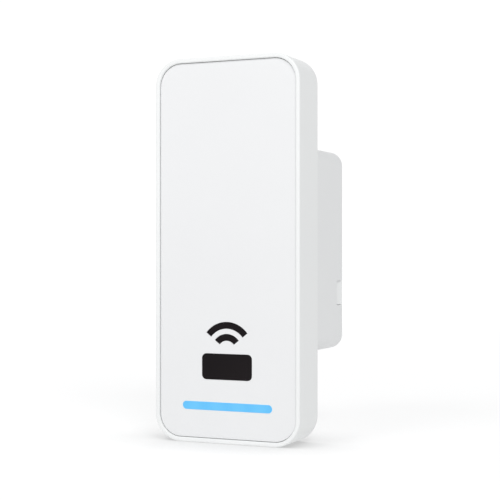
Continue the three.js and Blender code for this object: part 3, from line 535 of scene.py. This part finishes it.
def finished(name, rough, colours, vector_scale=(1, 1, 1), scale=400.0, relief=0.00002, metal=0.0,
             pattern="noise", wear=None, **fixed):
    """A material whose colour, gloss and relief follow one pattern: noise, cells or a weave. The pattern can
    be stretched along an axis, and edges can show a worn colour."""
    material, tree, output = new_finish(name)
    coords = add_node(tree, "TexCoord").outputs["Object"]
    stretched = add_node(tree, "Mapping", {"Vector": coords, "Scale": vector_scale}).outputs[0]
    if pattern == "cells":
        source = add_node(tree, "TexVoronoi", {"Vector": stretched, "Scale": scale}).outputs["Distance"]
    elif pattern == "weave":
        warp = add_node(tree, "TexWave", {"Vector": stretched, "Scale": scale, "Distortion": 1.0},
                        bands_direction="X").outputs["Fac"]
        weft = add_node(tree, "TexWave", {"Vector": stretched, "Scale": scale, "Distortion": 1.0},
                        bands_direction="Z").outputs["Fac"]
        source = add_node(tree, "Math", {0: warp, 1: weft}, operation="MULTIPLY").outputs[0]
    else:
        source = add_node(tree, "TexNoise", {
            "Vector": stretched, "Scale": scale, "Detail": 3.0}).outputs["Fac"]
    drift = add_node(tree, "TexNoise", {"Vector": coords, "Scale": 90.0, "Detail": 2.0}).outputs["Fac"]
    amount = add_node(tree, "Math", {0: source, 1: drift}, operation="MULTIPLY").outputs[0]
    ramp = add_node(tree, "MapRange", {"Value": amount, "From Min": 0.05, "From Max": 0.55}).outputs[0]
    colour = mixed(tree, ramp, (*colours[0], 1), (*colours[1], 1))
    if wear:
        rubbed = add_node(tree, "Group", {}, node_tree=edge_wear)
        tree.links.new(coords, rubbed.inputs["Vector"])
        colour = mixed(tree, rubbed.outputs["Mask"], colour, (*wear, 1))
    gloss = add_node(tree, "MapRange", {
        "Value": amount, "From Max": 0.6, "To Min": rough - GLOSS_SWING, "To Max": rough + GLOSS_SWING})
    bump = add_node(tree, "Bump", {"Height": source, "Strength": 0.5, "Distance": relief})
    shader = add_node(tree, "BsdfPrincipled", {
        "Base Color": colour, "Roughness": gloss.outputs[0], "Normal": bump.outputs[0], "Metallic": metal,
        **fixed})
    tree.links.new(shader.outputs[0], output.inputs["Surface"])
    return material


def keeps_shape(material, *nodes):
    """Gives CAD nodes that stay as they are a material."""
    for name in nodes:
        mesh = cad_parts[name].data
        mesh.materials.clear()
        mesh.materials.append(material)


def numbered(name, count):
    """The names of a row of like nodes, such as board_screw_1 to board_screw_4."""
    return [f"{name}_{number}" for number in range(1, count + 1)]


def soft_section(width, front, back, edge):
    """A rectangle of inset and depth with its four corners rounded to quarter circles."""
    turn = np.linspace(0, math.pi / 2, 5)
    angle = (np.arange(4)[:, None] * math.pi / 2 + turn).ravel()
    inward = np.repeat([1, -1, -1, 1], 5)
    backward = np.repeat([1, 1, -1, -1], 5)
    inset = width / 2 + inward * (width / 2 - edge) + edge * np.cos(angle)
    behind = (front + back) / 2 + backward * ((back - front) / 2 - edge) + edge * np.sin(angle)
    return np.stack([inset, behind], axis=-1)


def seal(name, node, width, radius, section, roundness, material, slot, body="reader"):
    """A ring as large as its node, with a section of the given width."""
    low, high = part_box(node)
    profile = section(width, low.y / MM - FACE, high.y / MM - FACE, roundness)
    ring = sheet((low.x / MM, low.z / MM), (high.x / MM, high.z / MM), radius, profile, arc=20, looped=True)
    place(name, ring, material, slot, node, body=body)


adhesive_tape = finished("adhesive_tape", 0.75, ((0.018, 0.018, 0.020), (0.045, 0.045, 0.05)),
                         scale=1500.0, pattern="cells", relief=0.00004)
seal("panel_tape", "panel_adhesive", 3.0, PANEL_RADIUS, soft_section, 0.05, adhesive_tape, "adhesive_tape")
clear_plastic = finished("clear_plastic", 0.12, ((0.80, 0.86, 0.90), (0.88, 0.93, 0.96)), scale=300.0,
                         **{"Transmission Weight": 0.7, "IOR": 1.58})
keeps_shape(clear_plastic, "light_guide")
led_body = finished("led_body", 0.30, ((0.74, 0.68, 0.42), (0.86, 0.80, 0.56)), scale=1200.0)
keeps_shape(led_body, *numbered("status_led", 4))
foam = finished("foam", 0.95, ((0.025, 0.025, 0.028), (0.08, 0.08, 0.085)), scale=2200.0,
                pattern="cells", relief=0.00015)
keeps_shape(foam, "sound_vent")

# ------------------------------------------------------------ antenna
# A black board with a spiral of copper round its edge and a small connector. The ferrite sheet behind it
# keeps the field off the main board. Each keeps its own solid shape.
antenna_laminate = finished("antenna_laminate", 0.42, ((0.012, 0.013, 0.016), (0.03, 0.032, 0.038)),
                            scale=700.0, pattern="weave", wear=(0.25, 0.24, 0.18))
keeps_shape(antenna_laminate, "antenna_board")
copper_foil = finished("copper_foil", 0.35, ((0.70, 0.36, 0.20), (0.86, 0.50, 0.30)), scale=1200.0,
                       metal=1.0, vector_scale=(1, 1, 0.2))
keeps_shape(copper_foil, "antenna_coil")
ferrite = finished("ferrite", 0.62, ((0.035, 0.035, 0.040), (0.07, 0.07, 0.075)), scale=2600.0,
                   pattern="cells", wear=(0.12, 0.12, 0.12))
keeps_shape(ferrite, "ferrite_sheet")
beige_plastic = finished("beige_plastic", 0.5, ((0.62, 0.55, 0.40), (0.74, 0.67, 0.52)), scale=1800.0)
keeps_shape(beige_plastic, "antenna_connector")

# ------------------------------------------------------------ main board
# A green glass-fibre board on four bosses, held by four screws. It carries black chips and switches, tinned
# shields, and the network jack with its eight gold contacts. Each keeps its own solid shape.
board_laminate = finished("board_laminate", 0.38, ((0.008, 0.055, 0.026), (0.022, 0.125, 0.062)),
                          scale=700.0, pattern="weave", wear=(0.42, 0.38, 0.22))
keeps_shape(board_laminate, "main_board")
chip_black = finished("chip_black", 0.58, ((0.008, 0.008, 0.009), (0.022, 0.022, 0.023)), scale=3500.0,
                      wear=(0.05, 0.05, 0.05))
keeps_shape(
    chip_black, "processor_chip", "network_transformer", "beeper", "reset_switch", "tamper_switch")
tinned_steel = finished("tinned_steel", 0.34, ((0.50, 0.51, 0.52), (0.70, 0.71, 0.72)), scale=900.0,
                        metal=1.0, vector_scale=(8, 1, 1), wear=(0.80, 0.80, 0.80))
keeps_shape(tinned_steel, "nfc_shield_can", "radio_module", "ethernet_jack")
gold_contact = finished("gold_contact", 0.26, ((0.72, 0.50, 0.20), (0.90, 0.70, 0.36)), scale=1500.0,
                        metal=1.0, vector_scale=(1, 0.2, 1))
keeps_shape(gold_contact, *numbered("jack_contact", 8))
screw_steel = finished("screw_steel", 0.32, ((0.42, 0.43, 0.44), (0.66, 0.66, 0.65)), scale=1500.0,
                       metal=1.0, wear=(0.82, 0.80, 0.74))
keeps_shape(screw_steel, *numbered("board_screw", 4))

# ------------------------------------------------------------ power board
# A second green board in the box's upper compartment, with a transformer and an inductor of ferrite, two
# capacitors in dark sleeves, and the header that plugs it into the main board. Each keeps its solid shape.
keeps_shape(board_laminate, "power_board")
keeps_shape(ferrite, "power_transformer", "power_inductor")
keeps_shape(beige_plastic, "board_header")
capacitor_sleeve = finished("capacitor_sleeve", 0.35, ((0.020, 0.024, 0.036), (0.045, 0.05, 0.068)),
                            scale=500.0, wear=(0.45, 0.46, 0.47))
keeps_shape(capacitor_sleeve, *numbered("bulk_capacitor", 2))

# ------------------------------------------------------------ rear housing
# The rear plate and the box that enters the wall, in one white moulding: two compartments, a finger notch in
# each side near the back, pockets for a wall bracket's hook and lug, and a shallow bed for the label.
PLATE_FRONT, PLATE_BACK = 14.6, 16.4
BOX_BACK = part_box("rear_housing")[1].y / MM - FACE
BOX_HALF, BOX_HEIGHT, BOX_RADIUS, BOX_WALL, BOX_EDGE = 24.0, 72.0, 5.2, 1.5, 0.8
box_bottom, box_top = slab_middle - BOX_HEIGHT / 2, slab_middle + BOX_HEIGHT / 2
PARTITION = 1.4
inner_half = BOX_HALF - BOX_WALL
inner_radius = BOX_RADIUS - BOX_WALL
bay_bottom, bay_top = box_bottom + BOX_WALL, slab_middle - PARTITION / 2
notch_middle = slab_middle - 15.65
NOTCH_HEIGHT, NOTCH_FRONT = 8.9, BOX_BACK - 6.35
reset_at, tamper_at = middle_of("reset_button"), middle_of("tamper_plunger")
jack_at = middle_of("ethernet_jack")
label_low, label_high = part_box("rating_label")
square = 0.05
HOOK_HALF, HOOK_FRONT = 7.7, PLATE_BACK - 5.0
hook_bottom, hook_top = tamper_at[1] - 3.5, tamper_at[1] + 3.5
LUG_FLOOR = 9.3
LUG_BOTTOM, LUG_TOP = 6.2, 12.6
POCKET_WALL = 1.2
LABEL_GAP, LABEL_BED = 0.3, 0.28
WINDOW_HALF, WINDOW_HALF_HEIGHT = 8.5, 7.2
STEM_HOLE, SHANK_HOLE, HEAD_HOLE = 1.7, 1.5, 2.85

plate_inset = LIP + 0.3
plate_solid = sheet(
    (slab_low_mm[0] + plate_inset, slab_low_mm[1] + plate_inset),
    (slab_high_mm[0] - plate_inset, slab_high_mm[1] - plate_inset),
    SLAB_RADIUS - plate_inset, sides(PLATE_FRONT, PLATE_BACK, back_round=0.15), arc=24)
box_solid = sheet((-BOX_HALF, box_bottom), (BOX_HALF, box_top), BOX_RADIUS,
                  sides(PLATE_FRONT + 0.9, BOX_BACK, back_round=BOX_EDGE), arc=24)
upper_room = sheet((-inner_half, slab_middle + PARTITION / 2), (inner_half, box_top - BOX_WALL),
                   (inner_radius, inner_radius, square, square),
                   sides(PLATE_FRONT - PAST, BOX_BACK - BOX_WALL), arc=16)
lower_room = sheet((-inner_half, bay_bottom), (inner_half, bay_top),
                   (square, square, inner_radius, inner_radius), sides(PLATE_BACK, BOX_BACK + PAST), arc=16)
rear_mesh = shaped(
    plate_solid,
    [box_solid,
     brick((-6, 6), (LUG_FLOOR - 0.8, PLATE_FRONT + 0.9), (LUG_BOTTOM - 1, LUG_TOP + 1)),
     brick((-HOOK_HALF - POCKET_WALL, HOOK_HALF + POCKET_WALL), (HOOK_FRONT - POCKET_WALL, PLATE_FRONT + 0.9),
           (hook_bottom - POCKET_WALL, hook_top + POCKET_WALL))],
    [upper_room, lower_room,
     brick((-5, 5), (LUG_FLOOR, BOX_BACK), (LUG_BOTTOM, LUG_TOP)),
     turned([(LOCK_HOLE, 0), (LOCK_HOLE, LUG_BOTTOM + 0.05)], lock_middle, axis="Z"),
     brick((-HOOK_HALF, HOOK_HALF), (HOOK_FRONT, PLATE_FRONT), (hook_bottom, hook_top)),
     brick((-HOOK_HALF, HOOK_HALF), (HOOK_FRONT, SLAB_DEPTH), (hook_bottom, hook_bottom + 4.8)),
     brick((jack_at[0] - WINDOW_HALF, jack_at[0] + WINDOW_HALF), (PLATE_FRONT - PAST, PLATE_BACK + PAST),
           (jack_at[1] - WINDOW_HALF_HEIGHT, jack_at[1] + WINDOW_HALF_HEIGHT)),
     rod(STEM_HOLE, PLATE_FRONT - PAST, PLATE_BACK + PAST, reset_at),
     rod(STEM_HOLE, PLATE_FRONT - PAST, PLATE_BACK + PAST, tamper_at),
     *(brick((side * BOX_HALF - PAST, side * BOX_HALF + PAST), (NOTCH_FRONT, BOX_BACK + PAST),
             (notch_middle - NOTCH_HEIGHT / 2, notch_middle + NOTCH_HEIGHT / 2)) for side in (-1, 1)),
     *(rod(SHANK_HOLE, PLATE_FRONT - PAST, PLATE_BACK + PAST, at) for at in housing_screws),
     *(rod(HEAD_HOLE, PLATE_BACK - 1.0, PLATE_BACK + PAST, at, count=48) for at in housing_screws),
     sheet((label_low.x / MM - LABEL_GAP, label_low.z / MM - LABEL_GAP),
           (label_high.x / MM + LABEL_GAP, label_high.z / MM + LABEL_GAP),
           1.0, sides(BOX_BACK - LABEL_BED, BOX_BACK + PAST), arc=8)])
RIB_REACH, RIB_HALF, RIB_FRONT = 1.5, 1.0, 19.25  # two ribs hold the power board down
rib_middle = sum(corner.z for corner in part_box("power_board")) / 2 / MM
ribs = [
    brick((side * inner_half - RIB_REACH, side * inner_half + RIB_REACH),
          (RIB_FRONT, BOX_BACK - BOX_WALL / 2), (rib_middle - RIB_HALF, rib_middle + RIB_HALF))
    for side in (-1, 1)]
rear_mesh = shaped(rear_mesh, ribs)
# The rear moulding takes a darker copy of the front's white plastic: painted shade, so that the box's sides
# read darker than the slab's.
rear_white_shaded = moulded("rear_white_shaded", (0.818, 0.826, 0.828), (0.803, 0.811, 0.815), 0.56, pits=2600.0)
place("rear_shell", rear_mesh, rear_white_shaded, "white_plastic", "rear_housing")
label_film = finished("label_film", 0.42, ((0.60, 0.61, 0.62), (0.74, 0.75, 0.76)), scale=1600.0,
                      vector_scale=(1, 1, 12), relief=0.000006)
keeps_shape(label_film, "rating_label")

# ------------------------------------------------------------ seals of the rear plate and the jack
# Soft rings: rubber between the plate and the front housing, foam on the plate's back that meets the wall,
# and rubber round the network jack.
rubber_seal = finished("rubber_seal", 0.78, ((0.075, 0.078, 0.082), (0.125, 0.13, 0.135)), scale=2400.0)
seal("plate_seal", "rear_seal", 0.8, SLAB_RADIUS - LIP - 0.2, soft_section, 0.09, rubber_seal, "rubber_seal")
seal("wall_seal", "wall_gasket", 1.0, SLAB_RADIUS - LIP - 0.4, soft_section, 0.15, foam, "foam")
seal("jack_seal", "jack_gasket", 2.0, 2.0, soft_section, 0.3, rubber_seal, "rubber_seal")

# ------------------------------------------------------------ port cover
# A white lid that pulls straight out of the box. Its skirt holds a rubber lip, its tabs fill the finger
# notches and ramp out until they are flush, and a rubber grommet sits in its middle for the cable.
LID_INSIDE = BOX_BACK - 1.6
lid_half = inner_half - 0.3
lid_bottom, lid_top = bay_bottom + 0.3, bay_top - 0.3
SKIRT_GAP, SKIRT_WALL = 1.1, 1.2
skirt_front = NOTCH_FRONT - 0.3 - 1.4 - 0.4
skirt_radius = inner_radius - SKIRT_GAP
grommet_at = (0.0, (bay_bottom + bay_top) / 2)
TAB_GAP, TAB_RAMP = 0.1, 1.6
tab_half = NOTCH_HEIGHT / 2 - TAB_GAP


def tab(side):
    """A wedge in the finger notch: its outline in X and depth is carried up from its foot to its top."""
    start, flush = inner_half - SKIRT_GAP - SKIRT_WALL / 2, BOX_HALF - 0.05
    turn = np.linspace(0, math.pi / 2, 9)
    back_edge = np.stack([
        flush - BOX_EDGE * (1 - np.cos(turn)), BOX_BACK - BOX_EDGE * (1 - np.sin(turn))], axis=-1)
    outline = np.concatenate([
        [(start, NOTCH_FRONT + TAB_GAP), (flush - TAB_RAMP, NOTCH_FRONT + TAB_GAP),
         (flush - 0.02, BOX_BACK - BOX_EDGE - 0.15)],
        back_edge, [(start, BOX_BACK)]])
    edge = 0.12
    heights = np.array([-tab_half, edge - tab_half, tab_half - edge, tab_half])
    drawn_in = np.array([edge, 0, 0, edge])
    x = np.maximum(outline[:, 0] - drawn_in[:, None] * (outline[:, 0] > start), start)
    y = np.broadcast_to(outline[:, 1] + FACE, x.shape)
    z = np.broadcast_to(notch_middle + heights[:, None], x.shape)
    return skin(np.stack([side * x, y, z], axis=-1) * MM)


lid_corners = (0.4, 0.4, inner_radius - 0.3, inner_radius - 0.3)
lid = sheet((-lid_half, lid_bottom), (lid_half, lid_top), lid_corners,
            sides(LID_INSIDE, BOX_BACK, back_round=0.3), arc=16)
skirt_low = (-inner_half + SKIRT_GAP, bay_bottom + SKIRT_GAP)
skirt_high = (inner_half - SKIRT_GAP, bay_top - SKIRT_GAP)
skirt = shaped(
    sheet(skirt_low, skirt_high, skirt_radius, sides(skirt_front, BOX_BACK - 0.8, front_round=0.2), arc=12),
    [],
    [sheet((skirt_low[0] + SKIRT_WALL, skirt_low[1] + SKIRT_WALL),
           (skirt_high[0] - SKIRT_WALL, skirt_high[1] - SKIRT_WALL), skirt_radius - SKIRT_WALL,
           sides(skirt_front - PAST, BOX_BACK + PAST), arc=12)])
cover_mesh = shaped(
    lid, [skirt, tab(-1), tab(1)],
    [rod(6.95, LID_INSIDE - PAST, BOX_BACK + PAST, grommet_at, count=64),
     rod(8.9, BOX_BACK - 0.85, BOX_BACK + PAST, grommet_at, count=64)])
place("cover_lid", cover_mesh, white_plastic, "white_plastic", "port_cover", body="cover")


def beaded_section(width, front, back, bead):
    """A strip whose outer side swells twice: its inset falls and rises by the cosine of two full turns."""
    along = np.linspace(0, 1, 25)
    outer = np.stack([bead * (1 + np.cos(4 * math.pi * along)) / 2, front + (back - front) * along], axis=-1)
    return np.concatenate([outer, [(width, back), (width, front)]])


seal("cover_lip", "port_cover_seal", 0.9, skirt_radius + 0.95, beaded_section, 0.3,
     rubber_seal, "rubber_seal", body="cover")

grommet_low, grommet_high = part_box("cable_grommet")
grommet_front, grommet_back = grommet_low.y / MM - FACE, grommet_high.y / MM - FACE
neck, collar, seat = 6.9, 8.6, BOX_BACK - 0.8
ring_solid = turned([
    (neck - 0.3, grommet_front), (neck, grommet_front + 0.3), (neck, seat), (collar - 0.15, seat),
    (collar, seat + 0.15), (collar, grommet_back - 0.25), (collar - 0.25, grommet_back)],
    grommet_at, count=72)
bore = turned([
    (3.9, grommet_front - 1), (3.8, grommet_front), (3.5, grommet_front + 0.3),
    (3.5, grommet_back - 0.3), (3.8, grommet_back), (3.9, grommet_back + 1)], grommet_at, count=72)
place("grommet", shaped(ring_solid, [], [bore]), rubber_seal, "rubber_seal", "cable_grommet", body="cover")

# ------------------------------------------------------------ screws
# Four zinc-plated housing screws with a six-sided socket enter from the back. The security screw enters from
# the bottom edge, and has a star socket round a pin.
for number, at in enumerate(housing_screws, 1):
    top = PLATE_BACK - 0.05
    end = LEDGE - 7
    thread = [(1.25 - 0.22 * (i % 2), end + 1.1 + 0.35 * i) for i in range(14)]
    screw = turned([
        (0.55, end), *thread, (1.25, top - 1.5), (1.25, top - 0.9), (2.5, top - 0.9), (2.6, top - 0.8),
        (2.6, top - 0.2), (2.54, top - 0.08), (2.4, top)], at)
    socket = turned([(1.25, top - 0.45), (1.3, top + 1)], at, count=6)
    place(f"plate_screw_{number}", shaped(screw, [], [socket]), screw_steel, "screw_steel",
          f"housing_screw_{number}")

foot = lock_low.z / MM
screw = turned([(1.9, foot), (2.15, foot + 0.08), (2.3, foot + 0.3), (2.3, foot + 1.8), (1.45, foot + 1.8),
                *((1.45 - 0.2 * (i % 2), foot + 2.6 + 0.4 * i) for i in range(18)), (0.7, foot + 10.3)],
               lock_middle, axis="Z")
star_turn = np.arange(12) * math.pi / 6
star_reach = np.where(np.arange(12) % 2 == 0, 1.35, 0.85)
star = skin(np.stack([np.stack([
    lock_middle[0] + star_reach * np.cos(star_turn), lock_middle[1] + star_reach * np.sin(star_turn),
    np.full(12, height_mm)], axis=-1) for height_mm in (foot - 1, foot + 0.9)]) * MM)
pin = turned([(0.4, foot + 0.05), (0.45, foot + 0.1), (0.45, foot + 1.2)], lock_middle, axis="Z", count=24)
place("lock_screw", shaped(shaped(screw, [], [star]), [pin]), screw_steel, "screw_steel", "security_screw")

# ------------------------------------------------------------ reset button and tamper plunger
# Two black pressed pieces with a collar that the rear plate keeps in. The button is pushed with a pin from
# the cable compartment, and the plunger by the wall.
black_plastic = moulded("black_plastic", (0.028, 0.028, 0.029), (0.017, 0.017, 0.018), 0.48, dust=0.02)
COLLAR_FRONT, COLLAR_BACK = 13.4, 14.4
for node, name, at, body in (("reset_button", "reset_stem", reset_at, "reset"),
                             ("tamper_plunger", "plunger_stem", tamper_at, "tamper")):
    low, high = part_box(node)
    start, stop = low.y / MM - FACE, high.y / MM - FACE
    stem = turned([
        (0.9, start), (1.0, start + 0.1), (1.0, COLLAR_FRONT), (2.2, COLLAR_FRONT), (2.3, COLLAR_FRONT + 0.1),
        (2.3, COLLAR_BACK - 0.1), (2.2, COLLAR_BACK), (1.5, COLLAR_BACK), (1.5, stop - 0.3),
        (1.41, stop - 0.09), (1.2, stop)], at, count=40)
    place(name, stem, black_plastic, "black_plastic", node, body=body)

# ------------------------------------------------------------ tamper spring
# A small compression spring between the tamper switch and the plunger's collar. Its end turns lie flatter
# than the rest.
SPRING_WIRE, SPRING_TURNS = 0.15, 3
spring_low, spring_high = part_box("tamper_spring")
spring_reach = (spring_high.x - spring_low.x) / 2 / MM - SPRING_WIRE
spring_start = spring_low.y / MM - FACE + SPRING_WIRE
spring_length = (spring_high.y - spring_low.y) / MM - 2 * SPRING_WIRE


def coil(across, steps_per_turn=40):
    """A round wire along a helix. It climbs evenly, less a sine of one full turn, so its ends lie flatter.
    Each ring of the wire lies across the helix, in its outward direction and its side direction."""
    share = np.linspace(0, 1, SPRING_TURNS * steps_per_turn + 1)
    turn = 2 * math.pi * SPRING_TURNS * share
    climb = share - 0.10 * np.sin(2 * math.pi * share)
    outward = np.stack([np.cos(turn), np.zeros_like(turn), np.sin(turn)], axis=-1)
    line = outward * spring_reach
    line[:, 1] = spring_start + spring_length * climb
    forward = np.gradient(line, axis=0)
    forward /= np.linalg.norm(forward, axis=1, keepdims=True)
    side = np.cross(forward, outward)
    angle = (np.arange(across) * 2 * math.pi / across)[None, :, None]
    rings = line[:, None] + SPRING_WIRE * (np.cos(angle) * outward[:, None] + np.sin(angle) * side[:, None])
    return skin((rings + (tamper_at[0], FACE, tamper_at[1])) * MM)


spring_steel = finished("spring_steel", 0.30, ((0.38, 0.38, 0.40), (0.60, 0.60, 0.61)), scale=1800.0,
                        metal=1.0)
spring = place("plunger_spring", coil(12), spring_steel, "spring_steel", "tamper_spring")
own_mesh(spring)
